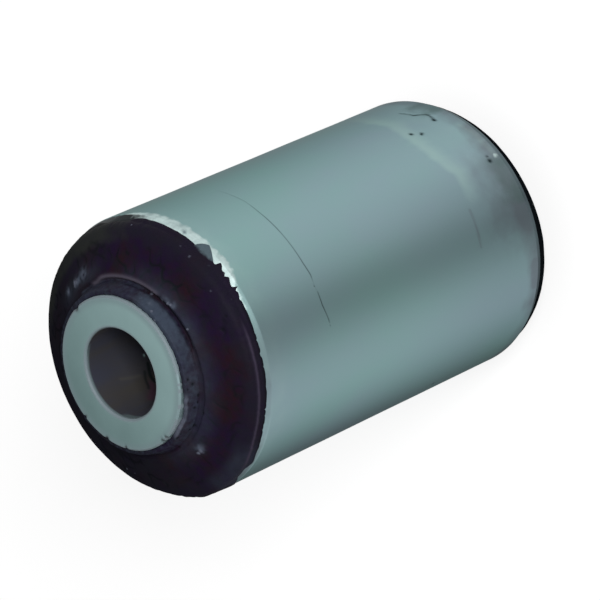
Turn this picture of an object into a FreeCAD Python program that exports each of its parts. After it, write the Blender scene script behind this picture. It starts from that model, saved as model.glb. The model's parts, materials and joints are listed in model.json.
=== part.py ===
import FreeCAD, Part
import math
import os

# Rubber metal bush, in millimetres. A thin steel sleeve and a thick steel tube
# share one axis, and a single rubber moulding is bonded between them.
# The bush stands on one end of the tube. +Z runs along the bore, and the origin
# is the middle of the end that it stands on. Both ends are alike.

# Inner sleeve: the thick tube that the bolt passes through
bore_diameter = 16.1
tube_wall = 5.7
tube_edge_break = 0.3
tube_stand_out = 8.9

# Rubber between the two steel tubes
rubber_thickness = 8.75

# Outer sleeve: the thin shell that is pressed into its housing
sleeve_wall = 2.5
sleeve_length = 73.6
sleeve_lead_length = 1.6
sleeve_lead_depth = 0.7

# Rubber lip, moulded over the end face of the outer sleeve
lip_height = 1.7
lip_rounding = 2.0

# Rubber shoulder, where the sloping end face stops, and the crease behind it
shoulder_setback = 3.25
crease_width = 0.95
crease_depth = 0.55

# Rubber collar, the skin that runs on up the outside of the tube
collar_root_thickness = 1.7
collar_tip_thickness = 0.85
collar_setback = 0.3

# The most of a straight side that the rounding at one of its ends may take
rounding_share = 0.45

# Radii and heights that follow, with heights measured from the middle of the bush
bore_radius = bore_diameter / 2
tube_radius = bore_radius + tube_wall
sleeve_inner_radius = tube_radius + rubber_thickness
sleeve_radius = sleeve_inner_radius + sleeve_wall
sleeve_end_radius = sleeve_radius - sleeve_lead_depth
sleeve_end = sleeve_length / 2
tube_end = sleeve_end + tube_stand_out


def unit_towards(start, end):
    """The direction from one point to another, and the distance between them."""
    run = end - start
    return run / run.Length, run.Length


def corner_arc(before, corner, after, rounding):
    """The arc that rounds a corner, no longer than its two sides allow."""
    back, room_before = unit_towards(corner, before)
    ahead, room_after = unit_towards(corner, after)
    half_angle = back.getAngle(ahead) / 2
    room = rounding_share * min(room_before, room_after)
    reach = min(rounding / math.tan(half_angle), room)
    radius = reach * math.tan(half_angle)
    inward = (back + ahead).normalize()
    middle = corner + inward * (radius / math.sin(half_angle) - radius)
    return Part.Arc(corner + back * reach, middle, corner + ahead * reach)


def section(corners):
    """A flat section from corners given as (radius, height, rounding)."""
    points = [FreeCAD.Vector(radius, 0, height) for radius, height, rounding in corners]
    edges = []
    pen = points[0]
    for index in range(1, len(points)):
        rounding = corners[index][2]
        if rounding > 0:
            arc = corner_arc(points[index - 1], points[index], points[index + 1], rounding)
            edges.append(Part.makeLine(pen, arc.StartPoint))
            edges.append(arc.toShape())
            pen = arc.EndPoint
        else:
            edges.append(Part.makeLine(pen, points[index]))
            pen = points[index]
    edges.append(Part.makeLine(pen, points[0]))
    return Part.Face(Part.Wire(edges))


def turned(corners):
    """The whole turned piece, from the section of its upper half."""
    middle = FreeCAD.Vector(0, 0, 0)
    axis = FreeCAD.Vector(0, 0, 1)
    upper = section(corners).revolve(middle, axis, 360)
    lower = upper.mirror(middle, axis)
    whole = upper.fuse(lower).removeSplitter()
    solid = whole.Solids[0]
    solid.translate(axis * tube_end)
    return solid


def inner_sleeve():
    """Thick steel tube, with the sharp edges of the bore and the rim broken."""
    edge_start = tube_end - tube_edge_break
    return turned([
        (bore_radius, 0, 0),
        (bore_radius, edge_start, 0),
        (bore_radius + tube_edge_break, tube_end, 0),
        (tube_radius - tube_edge_break, tube_end, 0),
        (tube_radius, edge_start, 0),
        (tube_radius, 0, 0),
    ])


def outer_sleeve():
    """Thin steel shell with a tapered lead at each end for pressing it in."""
    lead_start = sleeve_end - sleeve_lead_length
    return turned([
        (sleeve_inner_radius, 0, 0),
        (sleeve_inner_radius, sleeve_end, 0),
        (sleeve_end_radius, sleeve_end, 0),
        (sleeve_radius, lead_start, 0),
        (sleeve_radius, 0, 0),
    ])


def rubber_body():
    """The moulding that fills the gap, laps the sleeve's end and climbs the tube."""
    collar_top = tube_end - tube_edge_break - collar_setback
    collar_root_radius = tube_radius + collar_root_thickness
    shoulder_radius = collar_root_radius + crease_width
    shoulder_top = tube_end - shoulder_setback
    return turned([
        (tube_radius, 0, 0),
        (tube_radius, collar_top, 0),
        (tube_radius + collar_tip_thickness, collar_top, 0),
        (collar_root_radius, shoulder_top - crease_depth, 0),
        (shoulder_radius, shoulder_top, 0),
        (sleeve_end_radius, sleeve_end + lip_height, lip_rounding),
        (sleeve_end_radius, sleeve_end, 0),
        (sleeve_inner_radius, sleeve_end, 0),
        (sleeve_inner_radius, 0, 0),
    ])


pieces = {
    "outer_sleeve": outer_sleeve(),
    "rubber_body": rubber_body(),
    "inner_sleeve": inner_sleeve(),
}

os.makedirs("parts", exist_ok=True)
for name, solid in pieces.items():
    solid.exportStep("parts/" + name + ".step")
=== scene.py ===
# Rubber metal bush, standing on one end of its inner sleeve. The sections below follow the
# way it is made: two steel sleeves are set in a mould, and the rubber is moulded between them.
# The sizes of the pieces are in millimetres and azimuths in degrees, from +X towards +Y. The
# near end is the upper one, which the camera looks down on. Floor, lamp and camera are placed
# in metres.
import json
import math

import bpy
import numpy as np
from mathutils import Matrix, Vector, noise


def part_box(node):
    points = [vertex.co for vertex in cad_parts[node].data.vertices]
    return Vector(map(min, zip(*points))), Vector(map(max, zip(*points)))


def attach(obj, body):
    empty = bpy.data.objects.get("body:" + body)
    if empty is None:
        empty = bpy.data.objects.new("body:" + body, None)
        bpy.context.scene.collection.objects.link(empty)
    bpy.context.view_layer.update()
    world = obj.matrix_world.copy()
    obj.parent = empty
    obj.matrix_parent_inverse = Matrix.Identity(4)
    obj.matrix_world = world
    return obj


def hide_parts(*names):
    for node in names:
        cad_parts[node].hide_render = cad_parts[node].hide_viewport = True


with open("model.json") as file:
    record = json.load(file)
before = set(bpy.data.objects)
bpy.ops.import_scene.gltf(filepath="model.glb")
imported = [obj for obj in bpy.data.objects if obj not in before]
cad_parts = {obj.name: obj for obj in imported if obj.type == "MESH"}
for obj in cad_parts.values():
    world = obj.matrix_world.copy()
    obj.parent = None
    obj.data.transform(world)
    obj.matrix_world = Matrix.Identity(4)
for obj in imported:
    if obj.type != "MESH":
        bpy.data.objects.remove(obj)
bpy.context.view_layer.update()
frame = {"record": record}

# Inner sleeve: a thick steel tube, cut to length and faced flat at both ends. The bolt
# clamps it by its end rings, and the rubber is bonded to its outside. The bore is left as
# drawn and is dark, with painted light on one side of its mouth and a painted shadow line
# deep inside.
MM = 0.001
mounts = {mount["name"]: mount for mount in frame["record"]["mounts"]}
tube_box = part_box("inner_sleeve")
bore_radius = mounts["bolt_bore"]["dims"]["r_mm"]
tube_radius = tube_box[1].x / MM
tube_length = tube_box[1].z / MM
tube_edge_break = 0.3
tube_edge_rounding = 0.1
tube_steps_round = 400
arc_step = 0.24


def outline(corners):
    """Points round a closed section, from corners of (radius, height, rounding, steps on)."""
    arcs = []
    for index, (radius, height, rounding, _) in enumerate(corners):
        corner = Vector((radius, height))
        if rounding == 0:
            arcs.append([corner])
            continue
        back = (Vector(corners[index - 1][:2]) - corner).normalized()
        ahead = (Vector(corners[(index + 1) % len(corners)][:2]) - corner).normalized()
        half_angle = back.angle(ahead) / 2
        reach = rounding / math.tan(half_angle)
        centre = corner + (back + ahead).normalized() * rounding / math.sin(half_angle)
        start = corner + back * reach - centre
        end = corner + ahead * reach - centre
        bend = start.angle(end)
        parts = max(3, round(bend * rounding / arc_step))
        shares = [part / parts for part in range(parts + 1)]
        arcs.append([
            centre + (start * math.sin((1 - t) * bend) + end * math.sin(t * bend)) / math.sin(bend)
            for t in shares
        ])
    points = []
    for index, corner in enumerate(corners):
        points += arcs[index]
        first = arcs[index][-1]
        last = arcs[(index + 1) % len(corners)][0]
        points += [first.lerp(last, step / corner[3]) for step in range(1, corner[3])]
    return np.array([tuple(point) for point in points])


def turned(name, section, steps_round, form):
    """A mesh turned round the axis. form() moves its points and gives its masks."""
    along = np.roll(section, -1, axis=0) - np.roll(section, 1, axis=0)
    facing = np.stack([along[:, 1], -along[:, 0]], axis=1)
    facing /= np.linalg.norm(facing, axis=1, keepdims=True)
    turn = np.linspace(-180, 180, steps_round, endpoint=False)
    radius, turns = np.meshgrid(section[:, 0], turn, indexing="ij")
    height = np.meshgrid(section[:, 1], turn, indexing="ij")[0]
    radius, height, masks = form(radius, height, turns, facing[:, :1], facing[:, 1:])
    angle = np.radians(turns)
    points = np.stack([radius * np.cos(angle), radius * np.sin(angle), height], axis=-1)
    rows, columns = radius.shape
    here = np.arange(rows * columns).reshape(rows, columns)
    above = np.roll(here, -1, axis=0)
    beside = np.roll(here, -1, axis=1)
    across = np.roll(above, -1, axis=1)
    faces = np.stack([here, beside, across, above], axis=-1).reshape(-1, 4)
    mesh = bpy.data.meshes.new(name)
    mesh.from_pydata((points.reshape(-1, 3) * MM).tolist(), [], faces.tolist())
    for mask_name, values in masks.items():
        layer = mesh.attributes.new(mask_name, "FLOAT", "POINT")
        values = np.broadcast_to(values, radius.shape).ravel()
        layer.data.foreach_set("value", values.astype(np.float32))
    mesh.shade_smooth()
    piece = bpy.data.objects.new(name, mesh)
    bpy.context.scene.collection.objects.link(piece)
    return piece


def unevenness(radius, height, turns, size, seed):
    """Smooth random waves of about that size over a turned surface, from -1 to 1."""
    angle = np.radians(turns)
    x = (radius * np.cos(angle)).ravel() / size
    y = (radius * np.sin(angle)).ravel() / size
    z = height.ravel() / size + 37.0 * seed
    waves = [noise.noise(Vector(point)) for point in zip(x, y, z)]
    return np.array(waves).reshape(radius.shape)


def near(here, place, size):
    """1 at a place, and fading on both sides of it over about that size."""
    return np.exp(-(((here - place) / size) ** 2))


def away(turns, place):
    """How far each azimuth is from a place, in degrees either way."""
    return (turns - place + 180) % 360 - 180


def between(turns, start, end, fade):
    """1 from one azimuth to another, and fading over some degrees past both."""
    middle = (start + end) / 2
    half = abs(end - start) / 2
    share = np.clip((half + fade - np.abs(away(turns, middle))) / fade, 0, 1)
    return share * share * (3 - 2 * share)


def rising(here, low, high):
    """0 below one value, 1 above another, and a smooth rise from one to the other."""
    share = np.clip((here - low) / (high - low), 0, 1)
    return share * share * (3 - 2 * share)


def jagged(turns, teeth, seed):
    """A broken line round the bush, between 0 and 1, with that many teeth."""
    tips = np.random.default_rng(seed).random(teeth)
    return np.interp(turns, np.linspace(-180, 180, teeth + 1), np.append(tips, tips[0]))


def stroke(radius, height, turns, points, width):
    """1 on a line of (height, azimuth) places on a round wall, fading over that width."""
    nearest = np.full(radius.shape, 1e3)
    for (height_a, turn_a), (height_b, turn_b) in zip(points[:-1], points[1:]):
        x = np.radians(away(turns, turn_a)) * radius
        y = height - height_a
        run_x = math.radians(turn_b - turn_a) * radius
        run_y = height_b - height_a
        share = np.clip((x * run_x + y * run_y) / (run_x ** 2 + run_y ** 2), 0, 1)
        nearest = np.minimum(nearest, np.hypot(x - share * run_x, y - share * run_y))
    return near(nearest, 0, width)


# Wear of the tube, with painted light on its ring face and mouth, and painted shade at the
# ring's outer edge and deep in the bore. A side is (from, to, fade) in degrees, a band is
# (from, to) along a radius or a height, a nick is (azimuth, width in degrees) and a line runs
# through (height, azimuth).
tube_wave = 0.02
ring_nicks = ((15, 2.2), (108, 1.0), (132, 1.6), (151, 1.1), (-168, 1.6), (-163, 1.2))
nick_bite = 0.35
nick_drop = 0.15
chipped_side = (-178, -112, 8)
# Painted light: the ring face is lighter towards this azimuth and darker away from it.
painted_light_azimuth = -78
# Painted shade: the ring face darkens across this band towards its outer edge.
ring_shade_band = (11.9, 13.3)
edge_slack = 0.02
edge_fade = 0.06
# Painted light: the bore's mouth takes the ring's colour on these sides and bands.
lit_mouth_side = (60, 175, 30)
lit_mouth_band = (tube_length - 1.0, tube_length - 0.5)
lower_lit_mouth_side = (154, 178, 14)
lower_lit_mouth_band = (tube_length - 2.2, tube_length - 1.0)
# Painted shadow: a dark line deep in the bore, where the ring's edge shades the far wall.
painted_shadow_line = ((77.7, 92.2), (78.1, 99.0), (78.7, 108.5), (78.7, 117.0))
short_line = ((79.2, 99.9), (80.0, 108.5), (80.5, 117.7), (80.9, 121.6))
bore_scrape = ((84.8, 95.9), (82.8, 99.3), (80.6, 101.6))
bore_speck = ((77.8, 80.8), (77.8, 81.4))
bore_blush = ((79.6, 118.0), (80.9, 129.2), (82.5, 136.9))
bore_marks_low = 75.0
tube_section = outline([
    (bore_radius, tube_edge_break, tube_edge_rounding, 1),
    (bore_radius + tube_edge_break, 0, tube_edge_rounding, 8),
    (tube_radius - tube_edge_break, 0, tube_edge_rounding, 1),
    (tube_radius, tube_edge_break, tube_edge_rounding, 6),
    (tube_radius, tube_length / 2, 0, 30),
    (tube_radius, tube_length - tube_edge_break, tube_edge_rounding, 1),
    (tube_radius - tube_edge_break, tube_length, tube_edge_rounding, 12),
    (bore_radius + tube_edge_break, tube_length, tube_edge_rounding, 1),
    (bore_radius, tube_length - tube_edge_break, tube_edge_rounding, 100),
    (bore_radius, bore_marks_low, 0, 12),
])


def tube_form(radius, height, turns, out, up):
    """Slightly wavy faced ends, nicks in the outer edge, the bore's marks, and painted light and
    shade.
    """
    place = (radius, height, turns)
    wave = tube_wave * (unevenness(*place, size=5, seed=1) - 1)
    edge = near(radius, tube_radius, 0.5) * near(height, tube_length, 0.6)
    nicks = edge * sum(near(away(turns, azimuth), 0, width) for azimuth, width in ring_nicks)
    # Painted light on the bore's mouth.
    lit_mouth = rising(height, *lit_mouth_band) * between(turns, *lit_mouth_side)
    lower_lit_mouth = rising(height, *lower_lit_mouth_band) * between(turns, *lower_lit_mouth_side)
    wall = bore_radius + edge_slack
    bore = 1 - rising(radius, wall, wall + edge_fade)
    bore = bore * (1 - np.maximum(lit_mouth, 0.45 * lower_lit_mouth))
    # Dark lines in the bore; the deeper one is painted shadow.
    lines = 1.6 * stroke(*place, painted_shadow_line, 0.3) + 0.9 * stroke(*place, short_line, 0.28)
    chipped = between(turns, *chipped_side) * (jagged(turns, teeth=150, seed=23) > 0.45)
    ring_out = tube_radius - tube_edge_break
    ring_in = wall + tube_edge_break
    side = rising(radius, ring_out - edge_fade, ring_out) * (1 - 0.8 * chipped)
    side = side + (1 - bore) * (1 - rising(radius, ring_in, ring_in + edge_fade))
    # Painted light: the ring face is lighter on the side towards one azimuth, darker opposite.
    towards_painted_light = np.cos(np.radians(away(turns, painted_light_azimuth)))
    masks = {
        "bore": bore,
        "nick": np.clip(nicks + bore * lines, 0, 1),
        "rim": rising(radius, *ring_shade_band),
        "rubbed": 0.5 + 0.5 * towards_painted_light * rising(radius, 3, 13),
        "side": side,
        "scrape": 0.6 * bore * stroke(*place, bore_scrape, 0.3),
        "speck": bore * stroke(*place, bore_speck, 0.2),
        "blush": 0.8 * bore * stroke(*place, bore_blush, 0.8),
    }
    radius = radius + wave * out - nick_bite * nicks
    height = height + wave * up - nick_drop * nicks
    return radius, height, masks


def add(tree, kind, inputs=None, **settings):
    """A shader node, with its settings, and with values or other nodes' outputs put in."""
    made = tree.nodes.new(kind)
    for setting, value in settings.items():
        setattr(made, setting, value)
    for socket, value in (inputs or {}).items():
        if isinstance(value, bpy.types.NodeSocket):
            tree.links.new(value, made.inputs[socket])
        else:
            made.inputs[socket].default_value = value
    return made


def mixed(tree, share, low, high):
    """One colour turning into another as a mask rises."""
    node = add(tree, "ShaderNodeMix", {0: share, 6: low, 7: high}, data_type="RGBA")
    return node.outputs[2]


def mapped(tree, value, low, high, start=0.0, end=1.0):
    """A value moved from one range into another, and held inside it."""
    limits = {"Value": value, "From Min": low, "From Max": high, "To Min": start, "To Max": end}
    return add(tree, "ShaderNodeMapRange", limits).outputs[0]


def worked(tree, operation, first, second):
    """Two values put together by one operation."""
    return add(tree, "ShaderNodeMath", {0: first, 1: second}, operation=operation).outputs[0]


def coated(tree, colour, share, coat, strength=1.0):
    """A colour with a coat over it where a mask is high, at that strength."""
    if strength < 1:
        share = worked(tree, "MULTIPLY", share, strength)
    return mixed(tree, share, colour, coat)


def mask(tree, name):
    """A mask that was worked out with the mesh."""
    return add(tree, "ShaderNodeAttribute", attribute_name=name).outputs["Fac"]


def stretched_place(tree, stretch):
    """Places on the object, squeezed along the axis, so that noise on them is drawn out."""
    place = add(tree, "ShaderNodeTexCoord").outputs["Object"]
    squeeze = add(tree, "ShaderNodeCombineXYZ", {0: 1.0, 1: 1.0, 2: stretch}).outputs[0]
    both = {0: place, 1: squeeze}
    return add(tree, "ShaderNodeVectorMath", both, operation="MULTIPLY").outputs[0]


def effect(name, output, **inputs):
    """An empty node group with those inputs and one output, and its two inner ends."""
    group = bpy.data.node_groups.new(name, "ShaderNodeTree")
    kind = "NodeSocketFloat"
    for label, value in inputs.items():
        label = label.replace("_", " ")
        group.interface.new_socket(label, in_out="INPUT", socket_type=kind).default_value = value
    group.interface.new_socket(output, in_out="OUTPUT", socket_type=kind)
    return group, add(group, "NodeGroupInput").outputs, add(group, "NodeGroupOutput").inputs


def placed(tree, group, **inputs):
    """The output of an effect that is placed in a material with its own values."""
    inputs = {label.replace("_", " "): value for label, value in inputs.items()}
    return add(tree, "ShaderNodeGroup", inputs, node_tree=group).outputs[0]


# Soft patches of tone, drawn out along the axis where Stretch is below 1
patches, given, gives = effect("patches", "Mask", Per_metre=100.0, Stretch=1.0, Low=0.35, High=0.65)
cloud = add(patches, "ShaderNodeTexNoise", {
    "Vector": stretched_place(patches, given["Stretch"]),
    "Scale": given["Per metre"], "Detail": 5.0, "Roughness": 0.55})
patches.links.new(mapped(patches, cloud.outputs[0], given["Low"], given["High"]), gives["Mask"])

# Fine relief: a height for a Bump node, from grain of one size with finer grain in it
grain, given, gives = effect("grain", "Height", Per_metre=3000.0, Stretch=1.0)
relief = add(grain, "ShaderNodeTexNoise", {
    "Vector": stretched_place(grain, given["Stretch"]),
    "Scale": given["Per metre"], "Detail": 6.0, "Roughness": 0.6})
grain.links.new(relief.outputs[0], gives["Height"])


def new_material(name):
    """An empty material, its node tree and its shader."""
    material = bpy.data.materials.new(name)
    material.use_nodes = True
    return material, material.node_tree, material.node_tree.nodes["Principled BSDF"]


def grained(tree, shader, strength, depth, **settings):
    """Fine relief on a shader, at that strength and of that depth in metres."""
    height = placed(tree, grain, **settings)
    bump = add(tree, "ShaderNodeBump", {"Height": height, "Strength": strength, "Distance": depth})
    tree.links.new(bump.outputs[0], shader.inputs["Normal"])


tube_steel, tree, shader = new_material("tube_steel")
ring_dark = (0.16, 0.25, 0.25, 1)
ring_light = (0.29, 0.43, 0.43, 1)
ring_edge_shade = (0.20, 0.27, 0.29, 1)
bore_blue = (0.034, 0.037, 0.055, 1)
bore_brown = (0.043, 0.040, 0.038, 1)
bore_scraped = (0.060, 0.058, 0.052, 1)
bore_red = (0.062, 0.028, 0.048, 1)
nick_and_line_dark = (0.010, 0.014, 0.015, 1)
primer_grey = (0.15, 0.19, 0.21, 1)
ring_roughness = 0.42
bore_roughness = 0.55
# The ring face's tone: random bloom, and painted light that makes one side lighter.
bloom = placed(tree, patches, Per_metre=90.0, Low=0.3, High=0.7)
tone = worked(tree, "ADD", mask(tree, "rubbed"), mapped(tree, bloom, 0.0, 1.0, -0.12, 0.12))
ring_colour = mixed(tree, tone, ring_dark, ring_light)
# Painted shade towards the ring face's outer edge.
ring_colour = coated(tree, ring_colour, mask(tree, "rim"), ring_edge_shade, 0.6)
drawn = placed(tree, patches, Per_metre=130.0, Stretch=0.2)
bore_colour = mixed(tree, drawn, bore_blue, bore_brown)
bore_colour = coated(tree, bore_colour, mask(tree, "scrape"), bore_scraped)
bore_colour = coated(tree, bore_colour, mask(tree, "blush"), bore_red)
bore_colour = coated(tree, bore_colour, mask(tree, "speck"), ring_light)
in_bore = mask(tree, "bore")
primed = mask(tree, "side")
colour = mixed(tree, in_bore, ring_colour, bore_colour)
colour = coated(tree, colour, primed, primer_grey)
colour = coated(tree, colour, mask(tree, "nick"), nick_and_line_dark)
dull = worked(tree, "MAXIMUM", in_bore, primed)
roughness = mapped(tree, dull, 0.0, 1.0, ring_roughness, bore_roughness)
tree.links.new(colour, shader.inputs["Base Color"])
tree.links.new(roughness, shader.inputs["Roughness"])
tree.links.new(mapped(tree, dull, 0.0, 1.0, 1.0, 0.0), shader.inputs["Metallic"])
shader.inputs["Specular IOR Level"].default_value = 0.2
grained(tree, shader, 0.12, 0.0001, Per_metre=2500.0)

tube = turned("inner_tube", tube_section, tube_steps_round, tube_form)
tube.data.materials.append(tube_steel)
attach(tube, "root")
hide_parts("inner_sleeve")

# Outer sleeve: a thin steel tube with a tapered lead at each end, so that it starts straight
# when it is pressed into its eye. Handling has worn the near lead bright and left one long
# scratch round it, and the far end is pitted and stained, with painted shade darkening its edge.
sleeve_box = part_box("outer_sleeve")
sleeve_radius = sleeve_box[1].x / MM
sleeve_low = sleeve_box[0].z / MM
sleeve_high = sleeve_box[1].z / MM
sleeve_wall = 2.5
sleeve_bore = sleeve_radius - sleeve_wall
lead_length = 1.6
lead_depth = 0.7
lead_radius = sleeve_radius - lead_depth
lead_edge_rounding = 0.25
sleeve_steps_round = 720

# Wear of the sleeve and its painted shade, given as for the tube, with the scratch's path and
# bite as (azimuth, value) and the pits as (height, azimuth, size)
out_of_round = 0.03
handling_wave = 0.006
degrees_per_mm = 2.3
scratch_height = 65.4
scratch_half_width = 0.15
scratch_depth = 0.08
scratch_room = 2.2
scratch_path = (
    (-107, 65.05), (-104, 65.1), (-98, 65.55), (-92.6, 65.5), (-90, 65.7), (-85.5, 65.3),
    (-80, 65.5), (-67, 65.45), (-52, 65.35), (-44, 65.05), (-29, 65.3))
scratch_bite = (
    (-107, 0), (-106.5, 0.7), (-106, 0), (-104.5, 0.8), (-98, 1), (-93, 0.9), (-92, 0.15),
    (-90.5, 0.2), (-90, 0.9), (-89.4, 0.1), (-88, 0.3), (-86, 1), (-79, 1), (-72, 0.65),
    (-62, 0.8), (-52, 0.7), (-46, 0.35), (-38, 0.45), (-28, 0))
scratched_side = (-110, -30, 30)
lower_pit = 31.2
upper_pit = 42.2
pit_room = 0.6
pit_depth = 0.12
sleeve_pits = (
    (22.4, -45.7, 0.34), (20.5, -47.7, 0.3), (20.9, -48.3, 0.2), (13.2, -72.6, 0.4),
    (13.1, -70.4, 0.2), (14.9, -43.3, 0.36), (lower_pit, -166, 0.35), (upper_pit, -173, 0.3))
gouge = ((17.1, -29.3), (16.6, -32.5), (16.3, -35.1), (14.4, -37.6), (14.2, -39), (14.8, -43.3))
rim_streak = ((11.4, -119), (11.7, -124), (11.4, -129))
rim_scuff = ((12.0, -52), (11.3, -59), (11.6, -64), (11.3, -70.5))
rim_fleck = (11.25, -71.2)
faint_line = ((24.1, -87.7), (24.3, -96.3), (24.7, -103.3))
band_blot = (81.2, -46)
band_side = (-82, -14, 9)
deep_band_side = (-68, -24, 15)
far_marks_high = 25.0
near_marks_low = 78.5
lead_band = (sleeve_high - 1.7, sleeve_high - 1.2)
clean_lead_side = (-178, -34, 18)
darker_lead_sides = ((-150, -118, 10), (-192, -158, 16))
# Painted shade: the sleeve darkens over this band at the far end.
far_end_shade_band = (sleeve_low + 1.5, sleeve_low + 6)
far_cloud_side = (-94, -80, 26)
smoky_sides = ((-90, -75, 5), (-37, -30, 5))
smoky_height = 11.8
swept_edge = ((-110, 23.6), (-71, 22.8), (-34, 23.2), (0, 24.2))
swept_side = (-68, -30, 24)
polished_band = (74, 80)
polished_lead_side = (-110, -40, 14)
cool_band = (12, 50)
cool_side = (-140, -85, 25)

sleeve_section = outline([
    (sleeve_bore, sleeve_low, 0.1, 4),
    (lead_radius, sleeve_low, 0.1, 6),
    (sleeve_radius, sleeve_low + lead_length, lead_edge_rounding, 42),
    (sleeve_radius, far_marks_high, 0, 3),
    (sleeve_radius, lower_pit - pit_room, 0, 4),
    (sleeve_radius, lower_pit + pit_room, 0, 4),
    (sleeve_radius, upper_pit - pit_room, 0, 4),
    (sleeve_radius, upper_pit + pit_room, 0, 6),
    (sleeve_radius, scratch_height - scratch_room, 0, 3),
    (sleeve_radius, scratch_height - 2 * scratch_half_width, 0, 6),
    (sleeve_radius, scratch_height + 2 * scratch_half_width, 0, 3),
    (sleeve_radius, scratch_height + scratch_room, 0, 5),
    (sleeve_radius, near_marks_low, 0, 8),
    (sleeve_radius, sleeve_high - lead_length, lead_edge_rounding, 8),
    (lead_radius, sleeve_high, 0.12, 7),
    (sleeve_bore, sleeve_high, 0.1, 4),
])


def followed(turns, points):
    """A value that follows (azimuth, value) points round the bush."""
    return np.interp(turns, *zip(*points))


def scratch(height, turns):
    """How far the long scratch wanders from its height, and how deep it bites."""
    band = near(height, scratch_height, 1.2) * between(turns, *scratched_side)
    wander = (followed(turns, scratch_path) - scratch_height) * band
    bite = followed(turns, scratch_bite) * (0.7 + 0.3 * jagged(turns, teeth=120, seed=5))
    return wander, near(height, scratch_height, 0.7 * scratch_half_width) * bite


def pitting(radius, height, turns):
    """The pits, and the torn line of the gouge."""
    pits = sum(
        near(height, place, size) * near(away(turns, azimuth), 0, degrees_per_mm * size)
        for place, azimuth, size in sleeve_pits)
    width = 0.16 + 0.14 * jagged(turns, teeth=500, seed=18)
    torn = stroke(radius, height, turns, gouge, width)
    torn = torn * (0.5 + 0.5 * jagged(turns, teeth=400, seed=19))
    return np.clip(np.clip(1.4 * pits, 0, 1) + torn, 0, 1)


def bright_band(height, turns, blot):
    """Steel bare from wear below the near lip, less the blot in it, and a fleck at the far rim."""
    ragged = 1.4 + 0.5 * jagged(turns, teeth=60, seed=15) + 0.35 * jagged(turns, teeth=230, seed=16)
    edge = sleeve_high - 0.9 - ragged * between(turns, *deep_band_side)
    band = rising(height, edge - 0.6, edge + 0.8) * between(turns, *band_side)
    fleck_height, fleck_azimuth = rim_fleck
    fleck = near(height, fleck_height, 0.4) * near(away(turns, fleck_azimuth), 0, 0.9)
    return band * (1 - 0.9 * blot) + fleck


def stains_and_shade(radius, height, turns, lead, blot):
    """Stains along the far end with painted shade darkening its edge, and darker sides of the near
    lead.
    """
    # Painted shade towards the far end.
    far_end_shade = 1 - rising(height, *far_end_shade_band)
    far_end_shade = far_end_shade * (0.5 + 0.6 * jagged(turns, teeth=120, seed=8))
    cloud = 1 - rising(height, 9, 23 + 3 * jagged(turns, teeth=60, seed=17))
    cloud = cloud * between(turns, *far_cloud_side)
    streak = stroke(radius, height, turns, rim_streak, 0.6)
    faint = stroke(radius, height, turns, faint_line, 0.25)
    some, most = (between(turns, *side) for side in darker_lead_sides)
    stain = far_end_shade + 0.8 * cloud + 1.2 * streak + 0.45 * faint + 1.2 * blot
    return np.clip(stain + lead * (0.35 * some + most), 0, 1)


def lightening(radius, height, turns, lead):
    """Steel made lighter by wear: swept above the far stains, and polished towards the near lead.
    """
    edge = followed(turns, swept_edge)
    edge = edge + 1.6 * jagged(turns, teeth=40, seed=9) + 0.6 * jagged(turns, teeth=170, seed=24)
    swept = (1 - rising(height, edge - 1.2, edge + 0.6)) * between(turns, *swept_side)
    swept = swept * (0.15 + 0.85 * rising(height, edge - 5, edge - 1))
    light = np.clip(swept + stroke(radius, height, turns, rim_scuff, 0.45), 0, 1)
    light = np.maximum(light, 0.25 * rising(height, *polished_band))
    return np.maximum(light, 0.55 * lead * between(turns, *polished_lead_side))


def sleeve_form(radius, height, turns, out, up):
    """Slightly out of round, with the scratch, the pits, and the wear of both ends."""
    place = (radius, height, turns)
    outside = near(radius, sleeve_radius, 0.6)
    lead = rising(height, *lead_band)
    wave = out_of_round * (unevenness(*place, size=14, seed=2) - 1)
    wave = wave + handling_wave * (unevenness(*place, size=3, seed=3) - 1)
    wander, groove = scratch(height, turns)
    pits = pitting(*place) * outside
    blot_height, blot_azimuth = band_blot
    blot = near(height, blot_height, 0.5) * near(turns, blot_azimuth, 1.9)
    smoky = sum(between(turns, *side) for side in smoky_sides)
    smoky = smoky * near(height, smoky_height, 2.0 + 1.4 * jagged(turns, teeth=50, seed=26))
    masks = {
        "scratch": groove * outside,
        "pit": pits,
        "bare": bright_band(height, turns, blot),
        "film": lead * (1 - between(turns, *clean_lead_side)),
        "stain": stains_and_shade(*place, lead, blot),
        "light": lightening(*place, lead) * outside,
        "cool": (1 - rising(height, *cool_band)) * between(turns, *cool_side),
        "smoky": smoky,
    }
    radius = radius + wave * out - scratch_depth * groove * outside - pit_depth * pits
    height = height + wander * outside + wave * up
    return radius, height, masks


# A mask whose edge is broken up by grain
broken, given, gives = effect(
    "broken edge", "Mask", Mask=0.0, Per_metre=2000.0, Raggedness=0.5, Softness=0.15)
specks = add(broken, "ShaderNodeTexNoise", {
    "Vector": add(broken, "ShaderNodeTexCoord").outputs["Object"],
    "Scale": given["Per metre"], "Detail": 4.0})
spread = mapped(broken, specks.outputs[0], 0.3, 0.7, -0.5, 0.5)
spread = worked(broken, "MULTIPLY", spread, given["Raggedness"])
shifted = worked(broken, "ADD", given["Mask"], spread)
soft_low = worked(broken, "SUBTRACT", 0.5, given["Softness"])
soft_high = worked(broken, "ADD", 0.5, given["Softness"])
edge = mapped(broken, shifted, soft_low, soft_high)
inside = mapped(broken, given["Mask"], 0.0, 0.2)
broken.links.new(worked(broken, "MULTIPLY", edge, inside), gives["Mask"])


def ragged_mask(tree, name, **settings):
    """A mask of the mesh, with its edge broken up."""
    return placed(tree, broken, Mask=mask(tree, name), **settings)


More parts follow.
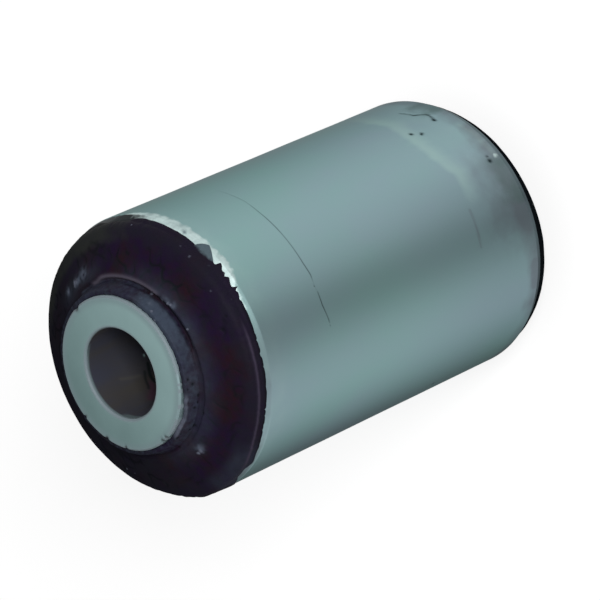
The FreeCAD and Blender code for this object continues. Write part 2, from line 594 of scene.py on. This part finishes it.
sleeve_steel, tree, shader = new_material("sleeve_steel")
sleeve_green = (0.255, 0.425, 0.415, 1)
sleeve_violet = (0.280, 0.395, 0.435, 1)
sleeve_cool = (0.215, 0.285, 0.335, 1)
sleeve_light = (0.36, 0.52, 0.50, 1)
stain_and_shade_grey = (0.15, 0.155, 0.185, 1)
smoke_green = (0.13, 0.19, 0.19, 1)
steel_bright = (0.60, 0.74, 0.73, 1)
steel_dull = (0.36, 0.46, 0.46, 1)
film_dark = (0.010, 0.013, 0.015, 1)
mark_dark = (0.015, 0.025, 0.028, 1)
sleeve_roughness = 0.32
bare_roughness = 0.5
clouds = placed(tree, patches, Per_metre=45.0, Stretch=0.5)
colour = mixed(tree, clouds, sleeve_green, sleeve_violet)
colour = coated(tree, colour, mask(tree, "cool"), sleeve_cool, 0.45)
light = ragged_mask(tree, "light", Per_metre=300.0, Raggedness=0.3, Softness=0.5)
colour = coated(tree, colour, light, sleeve_light, 0.6)
# Stains, and painted shade at the far end.
stain = ragged_mask(tree, "stain", Per_metre=260.0, Raggedness=0.5, Softness=0.5)
colour = coated(tree, colour, stain, stain_and_shade_grey, 0.65)
smoky = ragged_mask(tree, "smoky", Per_metre=350.0, Raggedness=0.8, Softness=0.5)
colour = coated(tree, colour, smoky, smoke_green, 0.75)
bare = ragged_mask(tree, "bare", Per_metre=900.0, Raggedness=0.7, Softness=0.3)
blotch = placed(tree, patches, Per_metre=500.0, Low=0.4, High=0.75)
colour = coated(tree, colour, bare, mixed(tree, blotch, steel_bright, steel_dull))
film = ragged_mask(tree, "film", Per_metre=900.0, Raggedness=0.4, Softness=0.4)
colour = coated(tree, colour, film, film_dark)
colour = coated(tree, colour, mask(tree, "scratch"), mark_dark)
colour = coated(tree, colour, mask(tree, "pit"), mark_dark)
roughness = mapped(tree, bare, 0.0, 1.0, sleeve_roughness, bare_roughness)
tree.links.new(colour, shader.inputs["Base Color"])
tree.links.new(roughness, shader.inputs["Roughness"])
tree.links.new(mapped(tree, film, 0.0, 1.0, 1.0, 0.0), shader.inputs["Metallic"])
shader.inputs["Specular Tint"].default_value = (0.5, 0.55, 0.55, 1)
shader.inputs["Specular IOR Level"].default_value = 0.1
grained(tree, shader, 0.12, 0.0001, Per_metre=2200.0, Stretch=0.6)

sleeve = turned("outer_shell", sleeve_section, sleeve_steps_round, sleeve_form)
sleeve.data.materials.append(sleeve_steel)
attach(sleeve, "root")
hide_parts("outer_sleeve")

# Rubber body: one moulding of black rubber, bonded to both sleeves in the press. At each
# end it laps over the outer sleeve's edge in a rounded lip, slopes up to a shoulder, and
# runs on as a thin collar up the inner sleeve. The near lip is torn where it was knocked.
rubber_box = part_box("rubber_body")
rubber_high = rubber_box[1].z / MM
middle = tube_length / 2
lip_height = 1.7
lip_rounding = 2.0
lip_lap = 0.7
collar_tip = 0.85
collar_root = 1.7
crease_width = 0.95
crease_depth = 0.55
shoulder_setback = 3.25
shoulder_high = tube_length - shoulder_setback
crease_radius = tube_radius + collar_root
shoulder_radius = crease_radius + crease_width
rubber_steps_round = 660

# Marks on the rubber as (radius, height, azimuth, size). The dust and painted sheen on the
# collar, strongest on one side, and the flash that hangs from the lip follow (azimuth,
# amount). Sides and bands are as for the tube.
dust_lumps = (
    (15.6, 87.9, -49, 0.3), (15.9, 88.0, -58, 0.32), (16.3, 88.1, -63, 0.28),
    (16.6, 88.1, -65, 0.2), (14.6, 90.5, -60, 0.22), (14.1, 90.8, -66, 0.2),
    (16.5, 88.1, -82.5, 0.16), (18.0, 87.3, 18.4, 0.65), (18.3, 87.2, 27, 0.2),
    (18.4, 87.1, -161, 0.35), (18.2, 87.2, -163.5, 0.3), (22.9, 84.9, -74, 0.14),
    (21.6, 85.6, 135, 0.16), (21.5, 85.6, 140, 0.12), (24.1, 83.9, -24, 0.12),
    (23.9, 83.9, -50.8, 0.18), (23.7, 84.1, -56.9, 0.2), (24.0, 83.0, -65.2, 0.2),
    (24.1, 83.2, -81.2, 0.14))
dust_smears = (
    (18.2, 87.2, 9, 1.0), (17.9, 87.3, 16, 0.8), (18.4, 87.1, 27, 0.7), (17.9, 87.4, -160, 0.8),
    (16.7, 88.0, -66, 0.6), (16.4, 88.1, -61, 0.6), (14.9, 89.6, -55, 0.4), (14.7, 90.0, -48, 0.3))
rubber_pits = (
    (14.8, 90.2, -112, 0.25), (15.0, 89.4, -115.8, 0.3), (14.7, 90.5, -118.6, 0.2),
    (15.3, 88.2, -124.5, 0.3), (15.3, 88.3, -129.3, 0.28), (16.2, 88.0, -135.8, 0.22),
    (15.1, 89.0, -133, 0.26), (15.4, 87.9, -147.7, 0.3), (15.2, 88.6, -151.6, 0.24),
    (14.7, 90.4, -160, 0.35), (14.8, 90.2, -155.5, 0.25), (15.4, 87.7, -171, 0.25),
    (22.9, 84.9, -86.2, 0.2), (21.4, 85.6, -90.9, 0.22))
collar_sheen = (
    (-180, 0.2), (-128, 0.35), (-118, 0.42), (-104, 0.4), (-90, 0.62), (-76, 0.92), (-54, 1),
    (-47, 0.75), (-42, 0.35), (-30, 0.34), (0, 0.36), (16, 0.3), (40, 0.2), (180, 0.2))
rim_flash = (
    (-180, 1.4), (-176, 1.6), (-174.5, 1.3), (-173, 0.5), (-171.5, 0.6), (-170, 0),
    (-84, 0), (-82, 0.7), (-80.1, 0.95), (-78.8, 0.7), (-78, 1.35), (-77.2, 0.5),
    (-75.5, 0.65), (-73.2, 1.05), (-72, 0.5), (-70.8, 0.95), (-69.5, 0.75), (-68, 1.25),
    (-66.6, 1.5), (-65.9, 0.5), (-64.6, 0.6), (-57.6, 2.4), (-54.2, 0.85), (-53.6, 0),
    (163, 0), (168, 0.9), (173, 1.5), (180, 1.4))
collar_wall_band = (15.0, 15.6)
collar_foot_band = (87.6, 88.4)
root_top_band = (88.2, 88.6)
tip_wall_band = (14.9, 15.2)
tip_band = (89.4, 90.7)
lip_edge_band = (24.0, 24.2)
lip_foot_band = (82.5, 83.0)
open_crease_side = (-88, 5, 12)
bead_side = (-52, 1, 5)
bead_radius = 16.2
groove_side = (-88, -33, 10)
groove_radius = 15.35
groove_shade_side = (-84, -54, 6)
groove_shade_radius = 15.45
rumpled_side = (-158, -92, 12)
folded_side = (-58, -18, 14)
ridge_side = (-150, -100, 12)
ridge_height = 83.4
short_lap_side = (-82, -65, 2)
no_lap_sides = ((-164, -160, 6), (-18, -8, 8))
shadowed_lap_side = (-158, -88, 6)
flap_side = (-64.3, -54.3, 0.4)
swollen_side = (-188, -158, 20)
dark_foot_side = (-195, -172, 4)
peeled_side = (-176, -128, 8)
pale_tip_side = (-156, -126, 7)
thin_far_lip_side = (-78, -10, 30)
filmed_side = (-40, 12, 8)
haze_side = (-165, -45, 30)
wide_haze_side = (-165, -100, 10)
lip_haze_side = (-170, -152, 10)
haze_patches = ((1.1, 17.6, 1.3, (2, 26, 12)), (0.8, 16.6, 0.9, (-84, -58, 14)))
# Painted highlight: the upper side of the near slope, by the lip, is painted lighter here.
top_slope_highlight_side = (-6, 44, 22)
lit_side = (-150, -30, 60)
inside_box = 0.9995

near_end = [
    (sleeve_bore, sleeve_high, 0, 3),
    (lead_radius, sleeve_high, 0.08, 5),
    (lead_radius, sleeve_high + lip_height, lip_rounding, 34),
    (shoulder_radius, shoulder_high, 0.35, 5),
    (crease_radius, shoulder_high - crease_depth, 0.2, 14),
    (tube_radius + collar_tip, rubber_high, 0.25, 3),
    (tube_radius, rubber_high, 0, 3),
]


def mirrored(corners):
    """The same corners at the far end, in reverse, with about a third of the steps."""
    following = corners[-2::-1] + corners[:1]
    return [
        (radius, 2 * middle - height, rounding, (after[3] + 2) // 3)
        for (radius, height, rounding, _), after in zip(corners[::-1], following)
    ]


def lumps(radius, height, turns, marks):
    """1 at each mark on the rubber, and fading round it over its size."""
    total = 0
    for mark_radius, mark_height, azimuth, size in marks:
        apart = np.radians(away(turns, azimuth)) * mark_radius
        gap = (radius - mark_radius) ** 2 + (height - mark_height) ** 2 + apart ** 2
        total = total + np.exp(-gap / size ** 2)
    return total


def crease(radius, height, turns, near_half, root):
    """Relief and filling of the crease, with its bead and the dust on its rumples."""
    filled = (1 - between(turns, *open_crease_side)) * root
    filled = 0.42 * filled * near(radius, crease_radius, 0.45)
    bead = near(radius, bead_radius - 0.5 * rising(turns, -9, 1), 0.36)
    bead = bead * between(turns, *bead_side) * root
    groove = near(radius, groove_radius, 0.2) * between(turns, *groove_side) * root
    rumpled = near_half * between(turns, *rumpled_side)
    rumpled = rumpled * rising(radius, 14.0, 14.4) * (1 - rising(radius, 16, 17.2))
    rumples = 0.8 * unevenness(radius, height, turns, size=1.7, seed=6)
    rumples = rumples + 0.3 * unevenness(radius, height, turns, size=0.8, seed=7)
    relief = 0.17 * bead - 0.28 * groove + 0.13 * rumpled * rumples
    return relief, filled, bead, rumpled * np.clip(0.5 + rumples, 0, 1)


def fold_lines(radius, height, turns, near_half):
    """Fine folds over the slope, deepest near the shoulder on one side."""
    face = near_half * rising(radius, 16.6, 17.2) * (1 - rising(radius, 22.0, 23.0))
    folds = near(unevenness(radius, height, turns, size=2.6, seed=8), 0, 0.1) * face
    folds = folds * np.clip(0.6 + 3 * unevenness(radius, height, turns, size=3.1, seed=9), 0, 1)
    deep = between(turns, *folded_side) * (1 - rising(radius, 19.0, 21.0))
    return folds * (0.6 + 0.4 * deep)


def overhang(turns, foot):
    """How far the near lip hangs down over the lead, with its ragged flash."""
    lap = lip_lap * (0.9 + 0.16 * jagged(turns, teeth=60, seed=25))
    lap = lap * (1 - 0.4 * between(turns, *short_lap_side))
    for side in no_lap_sides:
        lap = lap * (1 - between(turns, *side))
    return np.maximum(followed(turns, rim_flash), lap) * foot


def dust_haze(radius, turns, near_half):
    """Thin dust round the crease, along part of the lip, and in two patches."""
    inner = 15.5 - 0.7 * between(turns, *wide_haze_side)
    haze = rising(radius, inner, inner + 0.6) * (1 - rising(radius, 16.4, 20.0))
    haze = haze * between(turns, *haze_side)
    haze = haze + 0.9 * rising(radius, 21.6, 23.4) * between(turns, *lip_haze_side)
    for strength, place, width, side in haze_patches:
        haze = haze + strength * near(radius, place, width) * between(turns, *side)
    return haze * near_half


def rubber_form(radius, height, turns, out, up):
    """The uneven moulding, its crease and bead, and the torn lip at the near end."""
    place = (radius, height, turns)
    near_half = (height > middle).astype(float)
    collar = 1 - rising(radius, *collar_wall_band)
    collar = near_half * collar * rising(height, *collar_foot_band)
    root = near_half * (1 - rising(height, *root_top_band))
    foot = 1 - rising(height, *lip_foot_band)
    foot = near_half * rising(radius, *lip_edge_band) * foot
    tip = 1 - rising(radius, *tip_wall_band)
    tip = near_half * rising(height, *tip_band) * tip
    relief, filled, bead, rumple_dust = crease(*place, near_half, root)
    folds = fold_lines(*place, near_half)
    flecks = np.clip(lumps(*place, dust_lumps), 0, 1)
    pits = np.clip(lumps(*place, rubber_pits), 0, 1)
    strip = between(turns, *ridge_side) * rising(radius, 23.6, 24.0) * near_half
    ridge = near(height, ridge_height, 0.22) * strip
    wave = 0.05 * unevenness(*place, size=6, seed=4) + 0.02 * unevenness(*place, size=1.5, seed=5)
    push = wave + relief - 0.16 * folds + 0.16 * flecks + 0.1 * ridge - 0.2 * pits
    tear = 0.12 * jagged(turns, teeth=260, seed=12) ** 2 * rising(radius, 23.5, 24.2) * near_half
    drop = overhang(turns, foot)
    swollen = between(turns, *swollen_side) * rising(radius, 23.0, 24.2) * near_half
    peeled = between(turns, *peeled_side) * (0.3 + 0.7 * jagged(turns, teeth=48, seed=13))

    # From here on, radius and height are those of the moved points
    height = height + push * up + filled - 0.35 * tear - drop
    height = height - tip * (0.14 * jagged(turns, teeth=200, seed=14) + 0.7 * peeled)
    radius = radius + push * out - tear - 0.14 * strip * foot + 0.55 * swollen
    radius = radius + np.minimum(drop * lead_depth / lead_length, lead_depth)
    radius = radius + 0.14 * rising(drop, 0, 0.4)
    far_lip = (1 - near_half) * rising(radius, 22.4, 24.0)
    thinner = 0.08 + 0.4 * between(turns, *thin_far_lip_side)
    radius = radius - far_lip * (thinner + 0.06 * jagged(turns, teeth=90, seed=20))
    angle = np.radians(turns)
    box_side = sleeve_radius / np.maximum(np.abs(np.cos(angle)), np.abs(np.sin(angle)))
    radius = np.minimum(radius, inside_box * box_side)

    filmed = near_half * (1 - rising(radius, 15.7, 16.0)) * between(turns, *filmed_side)
    # Dust on the collar, with painted sheen that is strongest on one side.
    dusty = np.maximum(collar * followed(turns, collar_sheen), 0.34 * filmed)
    smears = lumps(radius, height, turns, dust_smears)
    blotches = 0.75 + 1.6 * unevenness(radius, height, turns, size=0.7, seed=10)
    smears = smears * np.clip(blotches, 0.1, 1.2)
    # Painted shade: a dark line along the groove by the crease.
    groove_shade = near(radius, groove_shade_radius, 0.22) * between(turns, *groove_shade_side) * root
    groove_shade = groove_shade * (0.6 + 0.4 * jagged(turns, teeth=110, seed=27))
    pale = between(turns, *pale_tip_side) * (1 - rising(radius, 14.4, 14.7)) * tip
    pale = pale * (0.7 + 0.3 * jagged(turns, teeth=70, seed=22))
    lapped = rising(drop, 0.25, 0.6) * between(turns, *shadowed_lap_side)
    dark_foot = foot * between(turns, *dark_foot_side)
    masks = {
        "lit": between(turns, *lit_side),
        "rim": rising(radius, 20.6, 24.0),
        # Painted highlight on the upper side of the near slope.
        "mossy": near_half * rising(radius, 20.5, 22.5) * between(turns, *top_slope_highlight_side),
        "fold": np.maximum(folds, groove_shade),
        "haze": np.clip(0.3 * dust_haze(radius, turns, near_half) + 0.95 * smears, 0, 1),
        "dusty": np.clip(dusty + 0.1 * rumple_dust + 0.2 * smears, 0, 1),
        "bead": np.clip(bead, 0, 1),
        "fleck": flecks,
        "pale": np.clip(pale + 0.42 * smears, 0, 1),
        "sheen": ridge,
        "pit": pits,
        "flap": between(turns, *flap_side) * rising(drop, 0.4, 0.8),
        "shade": np.clip(1 - near_half + dark_foot + 0.55 * lapped, 0, 1),
    }
    return radius, height, masks


rubber, tree, shader = new_material("rubber")
rubber_night = (0.0058, 0.0064, 0.0086, 1)
rubber_dim = (0.0098, 0.0104, 0.0138, 1)
rubber_brown = (0.0120, 0.0040, 0.0078, 1)
rubber_violet = (0.0085, 0.0036, 0.0160, 1)
rubber_rim = (0.0085, 0.0080, 0.0140, 1)
rubber_highlight_green = (0.0170, 0.0190, 0.0175, 1)
rubber_sheen = (0.034, 0.027, 0.046, 1)
rubber_grey = (0.060, 0.085, 0.100, 1)
rubber_black = (0.003, 0.004, 0.005, 1)
bead_highlight = (0.068, 0.060, 0.082, 1)
dust_and_sheen_film = (0.040, 0.054, 0.078, 1)
dust_pale = (0.095, 0.105, 0.14, 1)
rubber_roughness = 0.55
rubber_gloss = 0.035
lit = mask(tree, "lit")
shade = mask(tree, "shade")
patch = placed(tree, patches, Per_metre=160.0, Low=0.36, High=0.58)
colour = mixed(tree, patch, rubber_brown, rubber_violet)
mottle = placed(tree, patches, Per_metre=750.0, Low=0.43, High=0.68)
colour = coated(tree, colour, mottle, rubber_night, 0.6)
shadow = placed(tree, patches, Per_metre=330.0, Low=0.3, High=0.75)
dim = worked(tree, "SUBTRACT", mapped(tree, shadow, 0.0, 1.0, 0.55, 1.0), lit)
colour = coated(tree, colour, mapped(tree, dim, 0.0, 1.0), rubber_dim)
rim = ragged_mask(tree, "rim", Per_metre=260.0, Raggedness=1.0, Softness=0.5)
rim = worked(tree, "MULTIPLY", rim, mapped(tree, lit, 0.0, 1.0, 0.1, 0.7))
colour = coated(tree, colour, rim, rubber_rim)
# Painted highlight, greenish, on the upper side of the near slope.
mossy = ragged_mask(tree, "mossy", Per_metre=300.0, Raggedness=0.7, Softness=0.5)
colour = coated(tree, colour, mossy, rubber_highlight_green, 0.8)
# Dark fold lines, and painted shade along the crease groove.
colour = coated(tree, colour, mask(tree, "fold"), rubber_black)
wisps = placed(tree, patches, Per_metre=420.0, Low=0.25, High=0.75)
wisps = mapped(tree, wisps, 0.0, 1.0, 0.35, 1.0)
haze = worked(tree, "MULTIPLY", mask(tree, "haze"), wisps)
colour = coated(tree, colour, haze, dust_and_sheen_film)
# Dust, and painted sheen on one side of the collar.
dusty = ragged_mask(tree, "dusty", Per_metre=1200.0, Raggedness=0.35, Softness=0.45)
colour = coated(tree, colour, dusty, dust_and_sheen_film, 0.8)
# Painted highlight along the raised bead in the crease.
colour = coated(tree, colour, mask(tree, "bead"), bead_highlight)
fleck = ragged_mask(tree, "fleck", Per_metre=1500.0, Raggedness=0.8, Softness=0.4)
colour = coated(tree, colour, fleck, dust_pale)
colour = coated(tree, colour, mask(tree, "pale"), dust_pale, 0.8)
colour = coated(tree, colour, mask(tree, "sheen"), rubber_sheen)
colour = coated(tree, colour, mask(tree, "pit"), rubber_black)
flap = ragged_mask(tree, "flap", Per_metre=1500.0, Raggedness=0.5, Softness=0.5)
colour = coated(tree, colour, flap, rubber_grey)
colour = coated(tree, colour, shade, rubber_black)
gloss = mapped(tree, worked(tree, "SUBTRACT", lit, shade), 0.0, 1.0, 0.0, rubber_gloss)
tree.links.new(colour, shader.inputs["Base Color"])
tree.links.new(gloss, shader.inputs["Specular IOR Level"])
shader.inputs["Roughness"].default_value = rubber_roughness
grained(tree, shader, 0.3, 0.0002, Per_metre=1800.0)

rubber_section = outline(mirrored(near_end) + near_end)
body = turned("rubber_moulding", rubber_section, rubber_steps_round, rubber_form)
body.data.materials.append(rubber)
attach(body, "root")
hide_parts("rubber_body")

# Floor: a plain white surface that sends soft light back to the bush and takes its soft
# shadow. The camera sees it as white, and metal does not see it.
floor_size = 8.0
floor_bounce = (0.8, 0.8, 0.8, 1)
floor_shade = (0.35, 0.35, 0.35, 1)
floor_glow = 0.72
floor_mesh = bpy.data.meshes.new("floor")
half = floor_size / 2
floor_mesh.from_pydata(
    [(-half, -half, 0), (half, -half, 0), (half, half, 0), (-half, half, 0)], [], [(0, 1, 2, 3)])
floor = bpy.data.objects.new("floor", floor_mesh)
bpy.context.scene.collection.objects.link(floor)
floor_white = bpy.data.materials.new("floor_white")
floor_white.use_nodes = True
tree = floor_white.node_tree
tree.nodes.clear()
path = add(tree, "ShaderNodeLightPath").outputs
seen = worked(tree, "ADD", path["Is Camera Ray"], path["Is Glossy Ray"])
seen = worked(tree, "ADD", seen, path["Is Transmission Ray"])
bounced = add(tree, "ShaderNodeBsdfDiffuse", {"Color": floor_bounce}).outputs[0]
shadowed = add(tree, "ShaderNodeBsdfDiffuse", {"Color": floor_shade}).outputs[0]
glow = add(tree, "ShaderNodeEmission", {"Strength": floor_glow}).outputs[0]
white = add(tree, "ShaderNodeAddShader", {0: shadowed, 1: glow}).outputs[0]
shown = add(tree, "ShaderNodeMixShader", {0: seen, 1: bounced, 2: white}).outputs[0]
add(tree, "ShaderNodeOutputMaterial", {"Surface": shown})
floor_mesh.materials.append(floor_white)
floor.visible_glossy = False

# Light: an even white room with one soft square lamp above and behind the camera. Metal sees
# the room as softer and darker parts round the horizon, which gives the sleeve its
# lengthwise bands.
room = bpy.data.worlds.new("room")
room.use_nodes = True
bpy.context.scene.world = room
tree = room.node_tree
tree.nodes.clear()
room_light = (0.5, 0.5, 0.5, 1)
room_white = (1, 1, 1, 1)
room_tones = (
    (-180, 0.86), (-158, 0.82), (-140, 0.74), (-118, 0.40), (-100, 0.35), (-78, 0.74),
    (-36, 1.0), (0, 0.88), (30, 0.77), (60, 0.66), (85, 0.05), (120, 0.1), (150, 0.65),
    (180, 0.86))
overhead_white = (0.9, 0.9, 0.9, 1)
direction = add(tree, "ShaderNodeTexCoord").outputs["Generated"]
azimuth = add(tree, "ShaderNodeTexGradient", {"Vector": direction}, gradient_type="RADIAL")
ramp = add(tree, "ShaderNodeValToRGB", {"Fac": azimuth.outputs["Fac"]})
ramp.color_ramp.interpolation = "B_SPLINE"
stops = ramp.color_ramp.elements
while len(stops) < len(room_tones):
    stops.new(0.5)
for stop, (turn, tone) in zip(stops, room_tones):
    stop.position = (turn + 180) / 360
    stop.color = (tone, tone, tone, 1)
climb = add(tree, "ShaderNodeSeparateXYZ", {0: direction}).outputs["Z"]
overhead = mapped(tree, climb, 0.1, 0.8)
walls = mixed(tree, overhead, ramp.outputs["Color"], overhead_white)
path = add(tree, "ShaderNodeLightPath").outputs
plain = mixed(tree, path["Is Diffuse Ray"], room_white, room_light)
tone = mixed(tree, path["Is Glossy Ray"], plain, walls)
backdrop = add(tree, "ShaderNodeBackground", {"Color": tone, "Strength": 1.0})
add(tree, "ShaderNodeOutputWorld", {"Surface": backdrop.outputs[0]})

lamp_place = Vector((0.08, -0.85, 0.70))
lamp_size = 0.3
lamp_power = 9.0
soft_lamp = bpy.data.lights.new("soft_lamp", "AREA")
soft_lamp.shape = "SQUARE"
soft_lamp.size = lamp_size
soft_lamp.energy = lamp_power
lamp = bpy.data.objects.new("soft_lamp", soft_lamp)
lamp.location = lamp_place
lamp.rotation_euler = (-lamp_place).to_track_quat("-Z", "Y").to_euler()
bpy.context.scene.collection.objects.link(lamp)

# Camera: a long lens that looks down on the near end, rolled so that the bush lies across
# the picture.
camera_place = Vector((-0.00111, -0.57452, 0.58801))
camera_target = Vector((-0.00111, 0.0, 0.04649))
camera_roll = math.radians(-114.303)
camera_lens = 271.0
camera_sensor = 36
camera_data = bpy.data.cameras.new("camera")
camera_data.lens = camera_lens
camera_data.sensor_width = camera_sensor
camera = bpy.data.objects.new("camera", camera_data)
aim = (camera_target - camera_place).to_track_quat("-Z", "Y").to_matrix().to_4x4()
roll = Matrix.Rotation(camera_roll, 4, "Z")
camera.matrix_world = Matrix.Translation(camera_place) @ aim @ roll
bpy.context.scene.collection.objects.link(camera)
bpy.context.scene.camera = camera
bpy.context.scene.view_settings.view_transform = "Standard"
